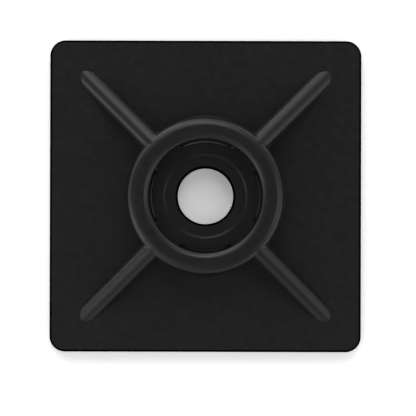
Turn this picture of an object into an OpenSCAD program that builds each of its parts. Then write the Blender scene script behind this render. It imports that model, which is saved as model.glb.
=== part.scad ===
// Cable tie mount, screw fixing, four-way entry. One moulded piece.
// Frame: millimetres, +Z up, origin at the middle of the underside of the base plate,
// plate sides along X and Y. The ribs run along the two diagonals of the plate.

/* [Base plate] */
// Side of the square base plate
base_w = 28; // [26:0.5:34]
// Thickness of the base plate
base_t = 1.5; // [1.2:0.1:2]
// Corner radius of the plate outline
corner_r = 1.4; // [1:0.1:2.5]
// How far in the steep bevel round the plate's top edge goes
edge_in = 0.2; // [0.1:0.05:0.3]
// How far down that bevel goes
edge_down = 0.43; // [0.2:0.01:0.8]

/* [Screw seat] */
// Diameter of the screw hole
hole_d = 5; // [4:0.1:5.2]
// Diameter that the hole opens out to at the floor of its recess
flare_d = 5.34; // [5.3:0.02:5.6]
// Height at which that flare begins
flare_z = 0.785; // [0.4:0.005:0.9]
// Diameter of the shallow recess round the hole, at its floor
recess_d = 7.2; // [6.2:0.05:7.4]
// Diameter of that recess at the top of the seat
recess_top_d = 7.488; // [7.45:0.002:7.8]
// Depth of that recess
recess_h = 0.13; // [0.05:0.01:0.2]
// Diameter of the raised round seat that the tie passes over
seat_d = 9.74; // [9:0.02:9.8]
// Height of the seat above the plate
seat_h = 0.6; // [0.4:0.1:0.8]

/* [Crown] */
// Outside diameter of the crown
crown_d = 14.06; // [13.4:0.02:15]
// Inside diameter of the crown
bowl_d = 10.06; // [9.9:0.02:10.6]
// Overall height of the part, from underside to the top of the crown
total_h = 5.7; // [5.4:0.1:6.6]
// Rounding of the crown's outer top edge
crown_outer_r = 0.85; // [0.5:0.05:0.9]
// Rounding of the crown's inner top edge
crown_inner_r = 0.7; // [0.5:0.05:0.8]
// How much of that inner rounding the bowl's wall cuts off
crown_inner_cut = 0.11; // [0.05:0.01:0.2]

/* [Tie openings] */
// Width of each opening for the cable tie
win_w = 5.2; // [4:0.1:5.4]
// Height of each opening above the plate
win_h = 2.2; // [2:0.1:2.4]
// Radius of the opening's upper corners
win_r = 0.8; // [0.3:0.1:1]
// How far the lip over each opening stands out from the crown
lip_out = 0.15; // [0.06:0.01:0.3]
// Radius of the lip's outline, seen from above
lip_bow = 5.4; // [4.8:0.02:5.8]
// Height of the lip above the top of the opening
lip_h = 0.8; // [0.3:0.05:0.85]

/* [Ribs] */
// Distance from the centre to the outer tip of each rib
rib_tip = 15.7; // [13.5:0.1:16.5]
// Width of a rib at its top rounding
rib_w = 1.84; // [1.2:0.02:2]
// How far the ridge runs below the line that would just touch the crown's outer rounding
rib_sink = 0.05; // [0.03:0.01:0.2]
// Draft of the rib's flanks, in degrees
rib_draft = 1.5; // [0.5:0.5:3]

/* [Hidden] */
$fn = 96;
eps = 0.01;
seat_z = base_t + seat_h;                    // top of the screw seat
recess_z = seat_z - recess_h;                // floor of the recess
win_z = base_t + win_h;                      // top of the tie openings
ro = crown_d / 2;
ri = bowl_d / 2;
round_x = ro - crown_outer_r;                // centre of the crown's outer rounding
round_z = total_h - crown_outer_r;
ridge = [rib_tip - round_x, round_z - base_t];
slope = atan2(ridge[1], ridge[0]) + asin((crown_outer_r - rib_sink) / norm(ridge));   // fall of the ridge line
rib_bar = ridge[0] / cos(slope) + 6;         // length of the sloping bar before trimming
half = base_w / 2;

// Half section of the plate: an upright side under a steep bevel.
module edge_section(reach) {
    polygon([[0, 0], [reach, 0], [reach, base_t - edge_down], [reach - edge_in, base_t], [0, base_t]]);
}

// Rounded slab that runs along Y, as wide as the plate in X.
module slab(width, length) {
    rotate([90, 0, 0])
        translate([0, 0, -length / 2])
            linear_extrude(length)
                union() {
                    edge_section(width / 2);
                    mirror([1, 0]) edge_section(width / 2);
                }
}

// The square plate: two crossed slabs and four turned corners share one rounded top edge.
module plate() {
    union() {
        slab(base_w, base_w - 2 * corner_r);
        rotate([0, 0, 90]) slab(base_w, base_w - 2 * corner_r);
        for (a = [0 : 90 : 270])
            rotate([0, 0, a])
                translate([half - corner_r, half - corner_r, 0])
                    rotate_extrude(angle = 90) edge_section(corner_r);
    }
}

// Half section of the crown, in the plane of radius and height. Its inner rounding is whole here.
module crown_section() {
    x0 = ri - crown_inner_cut;
    union() {
        translate([x0, base_t - 0.5]) square([ro - x0, total_h - base_t + 0.5 - max(crown_outer_r, crown_inner_r)]);
        translate([x0 + crown_inner_r, base_t]) square([ro - x0 - crown_inner_r - crown_outer_r, total_h - base_t]);
        translate([x0 + crown_inner_r, total_h - crown_inner_r]) circle(crown_inner_r, $fn = 64);
        translate([ro - crown_outer_r, total_h - crown_outer_r]) circle(crown_outer_r, $fn = 64);
    }
}

// Half section of the lip over a tie opening: a narrow ledge with a rounded top, about the lip's own centre.
module lip_section() {
    union() {
        translate([0, win_z - 0.4]) square([lip_bow, 0.4 + lip_h - lip_out]);
        translate([0, win_z - 0.4]) square([lip_bow - lip_out, 0.4 + lip_h]);
        translate([lip_bow - lip_out, win_z + lip_h - lip_out]) circle(lip_out, $fn = 48);
    }
}

// A lip that bulges out of the crown towards +X and dies away at both sides of the opening.
module lip() {
    intersection() {
        translate([ro + lip_out - lip_bow, 0, 0]) rotate_extrude() lip_section();
        translate([ro - 0.68, -2.9, 0]) cube([2, 5.8, total_h]);
    }
}

// Upright outline of a tie opening, wide as the tie and round at its upper corners.
module opening_outline() {
    union() {
        translate([-win_w / 2, base_t]) square([win_w, win_h - win_r]);
        translate([-win_w / 2 + win_r, base_t]) square([win_w - 2 * win_r, win_h]);
        for (s = [-1, 1]) translate([s * (win_w / 2 - win_r), win_z - win_r]) circle(win_r, $fn = 64);
    }
}

// The crown: a turned ring with two tie channels cut straight through it.
module crown() {
    difference() {
        union() {
            rotate_extrude() crown_section();
            for (a = [0 : 90 : 270]) rotate([0, 0, a]) lip();
        }
        // the bowl's upright wall
        cylinder(h = total_h + 1, r = ri);
        for (a = [0, 90])
            rotate([0, 0, a])
                rotate([90, 0, 0])
                    translate([0, 0, -crown_d])
                        linear_extrude(2 * crown_d) opening_outline();
    }
}

// Cross-section of a rib, square to its ridge: drafted flanks under a round top.
module rib_section() {
    r = rib_w / 2;
    spread = r + 5 * tan(rib_draft);
    union() {
        translate([0, -r]) circle(r, $fn = 64);
        polygon([[-r, -r], [r, -r], [spread, -5 - r], [-spread, -5 - r]]);
    }
}

// One rib along +X: a round-topped bar laid on the slope of the ridge and trimmed to the part.
module rib() {
    intersection() {
        translate([rib_tip, 0, base_t])
            rotate([0, slope, 0])
                translate([-rib_bar + 3, 0, 0])
                    rotate([90, 0, 90])
                        linear_extrude(rib_bar) rib_section();
        translate([ro - 0.53, -3, 0.6]) cube([rib_tip - ro + 3, 6, total_h]);
    }
}

// Raised round seat under the screw head. It runs on into the crown's legs between the tie channels.
module seat() {
    union() {
        translate([0, 0, base_t - 0.5]) cylinder(h = seat_h + 0.5, d = seat_d);
        for (a = [0 : 90 : 270])
            rotate([0, 0, a])
                intersection() {
                    translate([0, 0, base_t - 0.5]) cylinder(h = seat_h + 0.5, r = ri + 0.48);
                    translate([win_w / 2, win_w / 2, 0]) cube([6, 6, 6]);
                }
    }
}

module mount_body() {
    color([0.045, 0.045, 0.047])
        difference() {
            union() {
                plate();
                seat();
                crown();
                for (a = [45 : 90 : 315]) rotate([0, 0, a]) rib();
            }
            // screw hole, its slight flare and the shallow recess round it
            translate([0, 0, -1]) cylinder(h = seat_z + 2, d = hole_d);
            translate([0, 0, flare_z]) cylinder(h = recess_z - flare_z, d1 = hole_d, d2 = flare_d);
            translate([0, 0, recess_z]) cylinder(h = recess_h, d1 = recess_d, d2 = recess_top_d);
            translate([0, 0, seat_z - eps]) cylinder(h = 1, d = recess_top_d);
        }
}

mount_body();
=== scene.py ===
"""Cable tie mount: the moulded part's finished surface, its black nylon, and a plain studio."""
import math

import bpy
import numpy as np
from mathutils import Matrix, Vector


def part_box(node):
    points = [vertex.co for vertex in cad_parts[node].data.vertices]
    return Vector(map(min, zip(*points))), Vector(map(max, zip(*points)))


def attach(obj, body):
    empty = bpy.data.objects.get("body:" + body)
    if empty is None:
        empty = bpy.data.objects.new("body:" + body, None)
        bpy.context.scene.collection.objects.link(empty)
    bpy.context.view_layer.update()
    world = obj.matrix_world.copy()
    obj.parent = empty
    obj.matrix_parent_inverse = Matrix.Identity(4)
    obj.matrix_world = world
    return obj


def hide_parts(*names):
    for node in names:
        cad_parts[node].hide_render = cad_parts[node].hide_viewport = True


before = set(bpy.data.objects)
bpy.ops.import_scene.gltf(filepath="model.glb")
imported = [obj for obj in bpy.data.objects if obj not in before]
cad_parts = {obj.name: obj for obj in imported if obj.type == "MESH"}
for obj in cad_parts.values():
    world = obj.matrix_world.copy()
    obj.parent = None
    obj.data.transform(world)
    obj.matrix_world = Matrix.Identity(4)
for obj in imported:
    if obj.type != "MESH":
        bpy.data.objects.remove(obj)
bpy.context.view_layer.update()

MM = 0.001
NODE = "mount_body"
box_low, box_high = [list(map(float, v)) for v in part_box(NODE)]

# ---------------------------------------------------------------- dimensions, in mm, as the CAD has them
HALF = box_high[0] / MM            # half the plate's side
TOTAL_H = box_high[2] / MM         # overall height
BASE_T = 1.5
CORNER_R = 1.4
EDGE_R = 0.01
EDGE_IN = 0.2                      # the steep bevel round the plate's top: this far in
EDGE_DOWN = 0.43                   # and this far down
HOLE_R = 2.5
FLARE_R = 2.67                     # the hole opens out to this at the floor of its recess
FLARE_Z = 0.785
RECESS_Z = 1.97                    # floor of the shallow round recess in the seat
RECESS_R = 3.6
RECESS_TOP_R = 3.744
SEAT_R = 4.87
SEAT_Z = 2.1
CROWN_RO = 7.03
CROWN_RI = 5.03
CROWN_RO_ROUND = 0.85
CROWN_RI_ROUND = 0.7
CROWN_RI_TOP = 4.92                # the inner rounding would reach this radius, and the bowl's wall cuts it short
WIN_HALF = 2.6
WIN_Z = 3.7
WIN_R = 0.8
LIP_R = 5.4                        # each lip is an arc of this radius, bulging out of the crown
LIP_OFF = 1.78                     # about a point this far from the axis
LIP_TOP = 4.5
LIP_ROUND = 0.28
RIB_TIP = 15.7
RIB_R = 0.92
RIB_DRAFT = math.radians(1.5)
RIB_IN = 6.5


# ---------------------------------------------------------------- signed distances, in mm
def rmax(a, b, r):
    """Intersection whose shared edge is rounded to radius r."""
    return np.minimum(np.maximum(a, b), -r) + np.hypot(np.maximum(a + r, 0), np.maximum(b + r, 0))


def plate(x, y, z):
    qx, qy = np.abs(x) - (HALF - CORNER_R), np.abs(y) - (HALF - CORNER_R)
    side = np.hypot(np.maximum(qx, 0), np.maximum(qy, 0)) + np.minimum(np.maximum(qx, qy), 0) - CORNER_R
    bevel = (side * EDGE_DOWN + (z - BASE_T + EDGE_DOWN) * EDGE_IN) / math.hypot(EDGE_IN, EDGE_DOWN)
    d = rmax(rmax(side, bevel, 0.05), z - BASE_T, EDGE_R)
    return rmax(d, -z, 0.05)


def wedge(a, b, c, r):
    """Union of two prisms whose outlines' gradients meet with cosine c, with a ball of radius r in the notch between."""
    s2 = 1 - c * c
    p, q = r - a, r - b
    alpha, beta = (p - c * q) / s2, (q - c * p) / s2
    ball = r - np.sqrt(np.maximum((p * p + q * q - 2 * c * p * q) / s2, 0))
    return np.where((alpha > 0) & (beta > 0) & (p > 0) & (q > 0), np.minimum(ball, np.minimum(a, b)), np.minimum(a, b))


def seat(x, y, z):
    """The screw seat: a disc in the bowl that runs on into the crown's four legs, between the tie channels."""
    rho = np.maximum(np.hypot(x, y), 1e-6)
    across = np.minimum(np.abs(x), np.abs(y))
    legs = np.maximum(rho - 5.5, WIN_HALF - across)
    out = wedge(rho - SEAT_R, legs, np.clip(-across / rho, -0.9, 0.9), 0.3)
    return np.maximum(rmax(out, z - SEAT_Z, 0.09), 0.6 - z)


def crown(x, y, z):
    rho = np.hypot(x, y)
    t = z - TOTAL_H
    outer = rho - (CROWN_RO + np.maximum(TOTAL_H - CROWN_RO_ROUND - z, 0) * math.tan(math.radians(1.0)))
    ring = np.maximum(rmax(outer, t, CROWN_RO_ROUND), rmax(CROWN_RI_TOP - rho, t, CROWN_RI_ROUND))
    ring = rmax(ring, CROWN_RI - rho, 0.04)
    ax, ay = np.abs(x), np.abs(y)
    across = np.minimum(ax, ay)
    # the lip over each opening
    along = np.maximum(ax, ay)
    lip = rmax(np.hypot(along - LIP_OFF, across) - LIP_R, z - LIP_TOP, LIP_ROUND)
    lip = np.maximum(lip, np.maximum(across - 3.3, 6.0 - along))
    r = 0.12
    d = np.maximum(r, np.minimum(ring, lip)) - np.hypot(np.maximum(r - ring, 0), np.maximum(r - lip, 0))
    # the two tie channels
    tun = rmax(across - WIN_HALF, z - WIN_Z, WIN_R)
    d = rmax(d, -tun, 0.2)
    return np.maximum(d, 0.6 - z)


# the ridge is tangent to the crown's outer rounding and runs straight down to the plate
_cx, _cz = CROWN_RO - CROWN_RO_ROUND, TOTAL_H - CROWN_RO_ROUND
_dx, _dz = RIB_TIP - _cx, _cz - BASE_T
SLOPE = math.atan2(_dz, _dx) + math.asin(CROWN_RO_ROUND / math.hypot(_dx, _dz))


def rib(x, y, z):
    u, v = (np.abs(x) + np.abs(y)) / math.sqrt(2), np.abs(np.abs(x) - np.abs(y)) / math.sqrt(2)
    n = (z - BASE_T - (RIB_TIP - u) * math.tan(SLOPE)) * math.cos(SLOPE)
    h = n + RIB_R
    cd, sd = math.cos(RIB_DRAFT), math.sin(RIB_DRAFT)
    d = np.where(h * cd - v * sd > 0, np.hypot(v, h) - RIB_R, v * cd + h * sd - RIB_R)
    return np.maximum(d, 0.6 - z)


def grad(f, p, e=2e-3):
    """Unit gradient of f at the points p, by the four corners of a tetrahedron."""
    g = np.zeros_like(p)
    for k in ((1, -1, -1), (-1, -1, 1), (-1, 1, -1), (1, 1, 1)):
        k = np.array(k, float)
        q = p + e * k
        g += f(q[:, 0], q[:, 1], q[:, 2])[:, None] * k
    return g / np.maximum(np.linalg.norm(g, axis=1), 1e-12)[:, None]


def fillet(a, b, ga, gb, r):
    """Union with the fillet of a ball of radius r rolled along the two surfaces, at any angle between them."""
    c = np.clip(np.einsum("ij,ij->i", ga, gb), -0.999, 0.9995)
    s2 = 1 - c * c
    p, q = r - a, r - b
    alpha, beta = (p - c * q) / s2, (q - c * p) / s2
    ball = r - np.sqrt(np.maximum((p * p + q * q - 2 * c * p * q) / s2, 0))
    return np.where((alpha > 0) & (beta > 0) & (p > 0) & (q > 0), np.minimum(ball, np.minimum(a, b)), np.minimum(a, b))


def upper(x, y, z):
    """The crown with its four ribs, which start where the ridge leaves the crown's rounding."""
    a, b = crown(x, y, z), rib(x, y, z)
    out = (np.abs(x) + np.abs(y)) / math.sqrt(2) > RIB_IN
    d = np.where(out, np.minimum(a, b), a)
    near = out & (np.abs(a) < 0.6) & (np.abs(b) < 0.6)
    if near.any():
        p = np.stack([x[near], y[near], z[near]], 1)
        d[near] = fillet(a[near], b[near], grad(crown, p), grad(rib, p), 0.35)
    return d


def lower(x, y, z):
    """The plate with its screw seat."""
    a, b = plate(x, y, z), seat(x, y, z)
    r = 0.1
    return np.maximum(r, np.minimum(a, b)) - np.hypot(np.maximum(r - a, 0), np.maximum(r - b, 0))


def well(rho, z):
    """The screw hole, its slight flare and the shallow recess round it, as the space they take."""
    k = (FLARE_R - HOLE_R) / (RECESS_Z - FLARE_Z)
    flare = (HOLE_R + (z - FLARE_Z) * k - rho) / math.sqrt(1 + k * k)
    k = (RECESS_TOP_R - RECESS_R) / (SEAT_Z - RECESS_Z)
    side = (RECESS_R + (z - RECESS_Z) * k - rho) / math.sqrt(1 + k * k)
    recess = np.minimum(side, z - RECESS_Z)
    return np.maximum(HOLE_R - rho, np.minimum(np.maximum(flare, recess), 4.0 - rho))


def solid(x, y, z):
    a, b = lower(x, y, z), upper(x, y, z)
    d = np.minimum(a, b)
    return rmax(d, well(np.hypot(x, y), z), 0.02)


# ---------------------------------------------------------------- the surface of that, as a mesh
def surface(step):
    """Dual contouring on a grid: each vertex sits where the surface's tangent planes in its cell meet."""
    pad = 2.5 * step
    xs = np.arange(-HALF - pad, HALF + pad + step, step)
    zs = np.arange(-pad, TOTAL_H + pad + step, step)
    nx, nz = len(xs), len(zs)
    val = np.empty((nx, nx, nz), np.float32)
    X, Y = np.meshgrid(xs, xs, indexing="ij")
    band = 0.75
    for k, zz in enumerate(zs):
        x, y = X.ravel(), Y.ravel()
        z = np.full_like(x, zz)
        ribs = np.maximum(rib(x, y, z), RIB_IN - (np.abs(x) + np.abs(y)) / math.sqrt(2))
        rough = np.minimum(np.minimum(plate(x, y, z), seat(x, y, z)), np.minimum(crown(x, y, z), ribs))
        rough = np.maximum(rough, well(np.hypot(x, y), z))
        near = np.abs(rough) < band
        if near.any():
            rough[near] = solid(x[near], y[near], z[near])
        val[:, :, k] = rough.reshape(nx, nx)
    inside = val < 0
    # cells that the surface crosses
    total = np.zeros((nx - 1, nx - 1, nz - 1), np.int8)
    for i in (0, 1):
        for j in (0, 1):
            for k in (0, 1):
                total += inside[i : nx - 1 + i, j : nx - 1 + j, k : nz - 1 + k]
    cell = (total > 0) & (total < 8)
    index = np.full(cell.shape, -1, np.int64)
    ci, cj, ck = np.nonzero(cell)
    count = len(ci)
    index[ci, cj, ck] = np.arange(count)
    # every grid edge that crosses the surface gives a point, a normal and one quad
    quads = []
    sums = np.zeros((13, count))
    for axis in range(3):
        sl_a = [slice(None)] * 3
        sl_b = [slice(None)] * 3
        sl_a[axis] = slice(0, -1)
        sl_b[axis] = slice(1, None)
        ia, ib = inside[tuple(sl_a)], inside[tuple(sl_b)]
        e = np.stack(np.nonzero(ia != ib), 1)
        flip = ib[e[:, 0], e[:, 1], e[:, 2]]
        f = e.copy()
        f[:, axis] += 1
        lo = np.stack([xs[e[:, 0]], xs[e[:, 1]], zs[e[:, 2]]], 1)
        va = val[e[:, 0], e[:, 1], e[:, 2]].astype(float)
        vb = val[f[:, 0], f[:, 1], f[:, 2]].astype(float)
        ta, tb = np.zeros(len(e)), np.ones(len(e))
        p = lo.copy()
        for _ in range(2):
            t = np.clip(ta + (tb - ta) * va / (va - vb), 0, 1)
            p[:, axis] = lo[:, axis] + t * step
            v = solid(p[:, 0], p[:, 1], p[:, 2])
            same = (v < 0) == (va < 0)
            ta, va = np.where(same, t, ta), np.where(same, v, va)
            tb, vb = np.where(same, tb, t), np.where(same, vb, v)
            flat = np.abs(va - vb) < 1e-12
            va, vb = np.where(flat, -1e-9, va), np.where(flat, 1e-9, vb)
        t = np.clip(ta + (tb - ta) * va / (va - vb), 0, 1)
        p[:, axis] = lo[:, axis] + t * step
        n = grad(solid, p)
        dist = np.einsum("ij,ij->i", n, p)
        rows = [n[:, 0] * n[:, 0], n[:, 0] * n[:, 1], n[:, 0] * n[:, 2], n[:, 1] * n[:, 1], n[:, 1] * n[:, 2], n[:, 2] * n[:, 2],
                n[:, 0] * dist, n[:, 1] * dist, n[:, 2] * dist, p[:, 0], p[:, 1], p[:, 2], np.ones(len(e))]
        o1, o2 = [ax for ax in range(3) if ax != axis]
        four = []
        for d1, d2 in ((-1, -1), (0, -1), (0, 0), (-1, 0)):
            q = e.copy()
            q[:, o1] += d1
            q[:, o2] += d2
            at = index[q[:, 0], q[:, 1], q[:, 2]]
            four.append(at)
            for r, row in enumerate(rows):
                sums[r] += np.bincount(at, row, count)
        four = np.stack(four, 1)
        if axis == 1:
            four = four[:, ::-1]
        four[flip] = four[flip][:, ::-1]
        quads.append(four)
    mean = (sums[9:12] / sums[12]).T
    A = np.empty((count, 3, 3))
    for k, (i, j) in enumerate(((0, 0), (0, 1), (0, 2), (1, 1), (1, 2), (2, 2))):
        A[:, i, j] = A[:, j, i] = sums[k]
    b = sums[6:9].T - np.einsum("nij,nj->ni", A, mean)
    A += np.eye(3) * (0.03 * sums[12])[:, None, None]
    verts = mean + np.linalg.solve(A, b[:, :, None])[:, :, 0]
    low = np.stack([xs[ci], xs[cj], zs[ck]], 1)
    return np.clip(verts, low + 0.02 * step, low + 0.98 * step), np.concatenate(quads)


def settle(p, rounds=4):
    """Newton steps onto the surface, and the surface's own normals there."""
    for _ in range(rounds):
        d = solid(p[:, 0], p[:, 1], p[:, 2])
        g = grad(solid, p)
        p = p - np.clip(d, -0.05, 0.05)[:, None] * g
    return p, grad(solid, p)


def moulded_body():
    """The moulding as one closed mesh: dense where it curves, sparse where it is flat, with the exact surface's normals."""
    verts, quads = surface(GRID)
    verts, _ = settle(verts, 2)
    me = bpy.data.meshes.new("mount_moulding")
    me.from_pydata(verts.tolist(), [], quads.tolist())
    me.update()
    ob = bpy.data.objects.new("mount_moulding", me)
    bpy.context.scene.collection.objects.link(ob)
    mod = ob.modifiers.new("thin_flats", "DECIMATE")
    mod.ratio = TRIS / (2 * len(quads))
    mod.use_collapse_triangulate = True
    dg = bpy.context.evaluated_depsgraph_get()
    thin = bpy.data.meshes.new_from_object(ob.evaluated_get(dg))
    ob.modifiers.clear()
    ob.data = thin
    bpy.data.meshes.remove(me)
    thin.name = "mount_moulding"
    p = np.empty(len(thin.vertices) * 3)
    thin.vertices.foreach_get("co", p)
    p, n = settle(p.reshape(-1, 3), 3)
    p[:, 2] = np.clip(p[:, 2], 0.0, TOTAL_H)
    p[:, :2] = np.clip(p[:, :2], -HALF, HALF)
    thin.vertices.foreach_set("co", (p * MM).astype(np.float32).ravel())
    thin.polygons.foreach_set("use_smooth", np.ones(len(thin.polygons), bool))
    thin.update()
    # at a crease each face takes the normal of its own side
    tri = np.empty(len(thin.loops), np.int32)
    thin.loops.foreach_get("vertex_index", tri)
    tri = tri.reshape(-1, 3)
    a, b, c = p[tri[:, 0]], p[tri[:, 1]], p[tri[:, 2]]
    flat = np.cross(b - a, c - a)
    flat /= np.maximum(np.linalg.norm(flat, axis=1), 1e-12)[:, None]
    corner = n[tri]
    away = np.einsum("nij,nj->ni", corner, flat) < math.cos(math.radians(12))
    f, v = np.nonzero(away)
    q = 0.7 * p[tri[f, v]] + 0.3 * (a[f] + b[f] + c[f]) / 3
    corner[f, v] = grad(solid, q)
    thin.normals_split_custom_set(corner.reshape(-1, 3).tolist())
    return ob


# ---------------------------------------------------------------- black nylon
def nylon():
    m = bpy.data.materials.new("black_nylon")
    m.use_nodes = True
    nt = m.node_tree
    N, L = nt.nodes, nt.links
    N.clear()
    out = N.new("ShaderNodeOutputMaterial")
    bsdf = N.new("ShaderNodeBsdfPrincipled")
    L.new(bsdf.outputs[0], out.inputs[0])
    bsdf.inputs["IOR"].default_value = 1.5
    tc = N.new("ShaderNodeTexCoord")

    def noise(scale, detail, rough=0.5):
        n = N.new("ShaderNodeTexNoise")
        n.inputs["Scale"].default_value = scale
        n.inputs["Detail"].default_value = detail
        n.inputs["Roughness"].default_value = rough
        L.new(tc.outputs["Object"], n.inputs["Vector"])
        return n

    def span(src, lo, hi, a, b):
        r = N.new("ShaderNodeMapRange")
        r.inputs["From Min"].default_value = lo
        r.inputs["From Max"].default_value = hi
        r.inputs["To Min"].default_value = a
        r.inputs["To Max"].default_value = b
        L.new(src, r.inputs["Value"])
        return r.outputs[0]

    cloud = noise(260, 3)
    ramp = N.new("ShaderNodeMix")
    ramp.data_type = "RGBA"
    ramp.inputs["A"].default_value = (BLACK * 0.9, BLACK * 0.9, BLACK * 0.92, 1)
    ramp.inputs["B"].default_value = (BLACK * 1.1, BLACK * 1.1, BLACK * 1.12, 1)
    L.new(span(cloud.outputs[0], 0.35, 0.65, 0, 1), ramp.inputs["Factor"])

    # the plate's bevel and the lip of the hole: painted shade, their base colour darkened to a tenth and their specular
    # level turned down so these cut edges render as a black outline
    def vec(op, src, v):
        n = N.new("ShaderNodeVectorMath")
        n.operation = op
        n.inputs[1].default_value = v
        L.new(src, n.inputs[0])
        return n.outputs[0]

    def length(src):
        n = N.new("ShaderNodeVectorMath")
        n.operation = "LENGTH"
        L.new(src, n.inputs[0])
        return n.outputs["Value"]

    def both(op, a, b):
        n = N.new("ShaderNodeMath")
        n.operation = op
        L.new(a, n.inputs[0])
        L.new(b, n.inputs[1])
        return n.outputs[0]

    flat = vec("MULTIPLY", tc.outputs["Object"], (1, 1, 0))
    tall = length(vec("MULTIPLY", tc.outputs["Object"], (0, 0, 1)))
    n = N.new("ShaderNodeVectorMath")
    n.operation = "ABSOLUTE"
    L.new(flat, n.inputs[0])
    core = (HALF - CORNER_R) * 0.001
    edge = length(vec("MAXIMUM", vec("SUBTRACT", n.outputs[0], (core, core, 0)), (0, 0, 0)))
    reach = (CORNER_R - EDGE_IN) * 0.001
    rim = both("MULTIPLY", span(edge, reach - 3e-5, reach + 1e-5, 0, 1),
               span(tall, (BASE_T - EDGE_DOWN) * 0.001 - 4e-5, (BASE_T - EDGE_DOWN) * 0.001, 0, 1))
    mouth = both("MULTIPLY", span(length(flat), FLARE_R * 0.001 + 1e-5, FLARE_R * 0.001 + 4e-5, 1, 0),
                 span(tall, FLARE_Z * 0.001 - 1e-4, FLARE_Z * 0.001, 0, 1))
    # painted shade mask: the bevel and the hole's lip together
    painted_shade = both("MAXIMUM", rim, mouth)
    # painted shade: the base colour drops to a tenth where the mask is set
    painted_shade_mix = N.new("ShaderNodeMix")
    painted_shade_mix.data_type = "RGBA"
    painted_shade_mix.inputs["B"].default_value = (BLACK * 0.1, BLACK * 0.1, BLACK * 0.1, 1)
    L.new(painted_shade, painted_shade_mix.inputs["Factor"])
    L.new(ramp.outputs["Result"], painted_shade_mix.inputs["A"])
    L.new(painted_shade_mix.outputs["Result"], bsdf.inputs["Base Color"])
    # painted shade: the specular reflection is turned down on the masked edges
    L.new(span(painted_shade, 0, 1, 0.5, 0.03), bsdf.inputs["Specular IOR Level"])
    mottle = noise(1400, 4)
    L.new(span(mottle.outputs[0], 0.3, 0.7, ROUGH - 0.04, ROUGH + 0.04), bsdf.inputs["Roughness"])
    grain = noise(7000, 3, 0.6)
    bump = N.new("ShaderNodeBump")
    bump.inputs["Strength"].default_value = 0.6
    bump.inputs["Distance"].default_value = 0.000012
    L.new(grain.outputs[0], bump.inputs["Height"])
    L.new(bump.outputs[0], bsdf.inputs["Normal"])
    return m


# ---------------------------------------------------------------- studio
def toward(azimuth, zenith):
    """Unit vector to a place on the sky: azimuth 0 is +Y (the top of the picture), 90 is +X; zenith 0 is straight up."""
    a, z = math.radians(azimuth), math.radians(zenith)
    return Vector((math.sin(z) * math.sin(a), math.sin(z) * math.cos(a), math.cos(z)))


def sky(lobes, base):
    """Soft light from a few broad directions: each lobe is azimuth, zenith, width in degrees and strength."""
    w = bpy.data.worlds.new("studio")
    bpy.context.scene.world = w
    w.use_nodes = True
    nt = w.node_tree
    N, L = nt.nodes, nt.links
    N.clear()
    out = N.new("ShaderNodeOutputWorld")
    bg = N.new("ShaderNodeBackground")
    L.new(bg.outputs[0], out.inputs[0])
    tc = N.new("ShaderNodeTexCoord")
    total = None
    for az, ze, width, strength in lobes:
        d = N.new("ShaderNodeVectorMath")
        d.operation = "DOT_PRODUCT"
        L.new(tc.outputs["Generated"], d.inputs[0])
        d.inputs[1].default_value = toward(az, ze)
        k = math.log(2) / (1 - math.cos(math.radians(width)))
        e = N.new("ShaderNodeMath")
        e.operation = "MULTIPLY_ADD"
        L.new(d.outputs["Value"], e.inputs[0])
        e.inputs[1].default_value = k
        e.inputs[2].default_value = -k
        x = N.new("ShaderNodeMath")
        x.operation = "EXPONENT"
        L.new(e.outputs[0], x.inputs[0])
        s = N.new("ShaderNodeMath")
        s.operation = "MULTIPLY_ADD"
        L.new(x.outputs[0], s.inputs[0])
        s.inputs[1].default_value = strength
        if total is None:
            s.inputs[2].default_value = base
        else:
            L.new(total, s.inputs[2])
        total = s.outputs[0]
    # nothing shines up from well below the horizon
    sep = N.new("ShaderNodeSeparateXYZ")
    L.new(tc.outputs["Generated"], sep.inputs[0])
    cut = N.new("ShaderNodeMapRange")
    cut.interpolation_type = "SMOOTHSTEP"
    cut.inputs["From Min"].default_value = -0.22
    cut.inputs["From Max"].default_value = 0.06
    L.new(sep.outputs["Z"], cut.inputs["Value"])
    lit = N.new("ShaderNodeMath")
    lit.operation = "MULTIPLY"
    L.new(total, lit.inputs[0])
    L.new(cut.outputs[0], lit.inputs[1])
    L.new(lit.outputs[0], bg.inputs["Color"])
    bg.inputs["Strength"].default_value = 1.0
    w.cycles.sampling_method = "AUTOMATIC"
    return w


def floor():
    s = 1.3
    me = bpy.data.meshes.new("floor")
    me.from_pydata([(-s, -s, -2e-5), (s, -s, -2e-5), (s, s, -2e-5), (-s, s, -2e-5)], [], [(0, 1, 2, 3)])
    ob = bpy.data.objects.new("floor", me)
    bpy.context.scene.collection.objects.link(ob)
    m = bpy.data.materials.new("floor_white")
    m.use_nodes = True
    nt = m.node_tree
    nt.nodes.clear()
    out = nt.nodes.new("ShaderNodeOutputMaterial")
    both = nt.nodes.new("ShaderNodeAddShader")
    matt = nt.nodes.new("ShaderNodeBsdfDiffuse")
    matt.inputs["Color"].default_value = (FLOOR_WHITE, FLOOR_WHITE, FLOOR_WHITE, 1)
    glow = nt.nodes.new("ShaderNodeEmission")
    glow.inputs["Color"].default_value = (1, 1, 1, 1)
    glow.inputs["Strength"].default_value = FLOOR_GLOW
    nt.links.new(matt.outputs[0], both.inputs[0])
    nt.links.new(glow.outputs[0], both.inputs[1])
    nt.links.new(both.outputs[0], out.inputs[0])
    me.materials.append(m)
    # the floor shows and takes shadow, and the part's own reflections are of the studio round it
    ob.visible_diffuse = False
    ob.visible_glossy = False
    return ob


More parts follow.
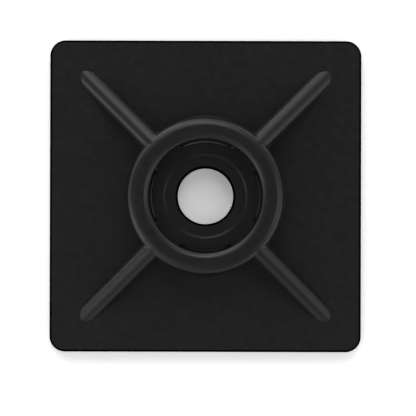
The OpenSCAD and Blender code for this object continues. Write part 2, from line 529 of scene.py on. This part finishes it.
def backdrop():
    import bmesh
    bm = bmesh.new()
    bmesh.ops.create_uvsphere(bm, u_segments=48, v_segments=24, radius=1.5)
    me = bpy.data.meshes.new("backdrop")
    bm.to_mesh(me)
    bm.free()
    ob = bpy.data.objects.new("backdrop", me)
    bpy.context.scene.collection.objects.link(ob)
    m = bpy.data.materials.new("backdrop_white")
    m.use_nodes = True
    nt = m.node_tree
    nt.nodes.clear()
    out = nt.nodes.new("ShaderNodeOutputMaterial")
    em = nt.nodes.new("ShaderNodeEmission")
    em.inputs[0].default_value = (0.9, 0.9, 0.9, 1)
    nt.links.new(em.outputs[0], out.inputs[0])
    me.materials.append(m)
    for flag in ("visible_diffuse", "visible_glossy", "visible_transmission", "visible_volume_scatter", "visible_shadow"):
        setattr(ob, flag, False)
    return ob


def camera():
    """Straight above to within half a degree, 250 mm away."""
    ax, ay, roll = (math.radians(v) for v in CAM_TILT)
    R = Matrix.Rotation(roll, 3, "Z") @ Matrix.Rotation(ax, 3, "X") @ Matrix.Rotation(ay, 3, "Y")
    t = Vector((CAM_AT[0], CAM_AT[1], -CAM_AT[2])) * MM
    cam = bpy.data.cameras.new("camera")
    ob = bpy.data.objects.new("camera", cam)
    bpy.context.scene.collection.objects.link(ob)
    ob.matrix_world = Matrix.Translation(-(R.transposed() @ t)) @ R.transposed().to_4x4()
    cam.sensor_width = 36
    cam.lens = CAM_F / 416 * 36
    cam.clip_start, cam.clip_end = 0.01, 5
    bpy.context.scene.camera = ob
    return ob


GRID = 0.1
TRIS = 190000
BLACK = 0.008
ROUGH = 0.33
FLOOR_GLOW = 0.1
FLOOR_WHITE = 1.8
CAM_TILT = (-0.317, 0.063, -0.166)
CAM_AT = (-0.2276, 1.0462, 250.0)
CAM_F = 2767.82
LOBES = [
    (7, 39, 9, 3.13), (343, 57, 19, 1.99), (330, 100, 18, 3.90), (244, 64, 12, 1.29), (247, 108, 24, 3.73),
    (96, 41, 12, 1.88), (114, 102, 29, 1.96), (178, 101, 34, 0.81), (35, 94, 25, 1.74), (223, 35, 22, 0.66),
    (296, 92, 18, 1.27),
]

camera()
body = moulded_body()
body.data.materials.append(nylon())
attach(body, "root")
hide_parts(NODE)
floor()
backdrop()
sky(LOBES, 0.0)
scene = bpy.context.scene
scene.view_settings.view_transform = "Standard"
scene.view_settings.look = "None"
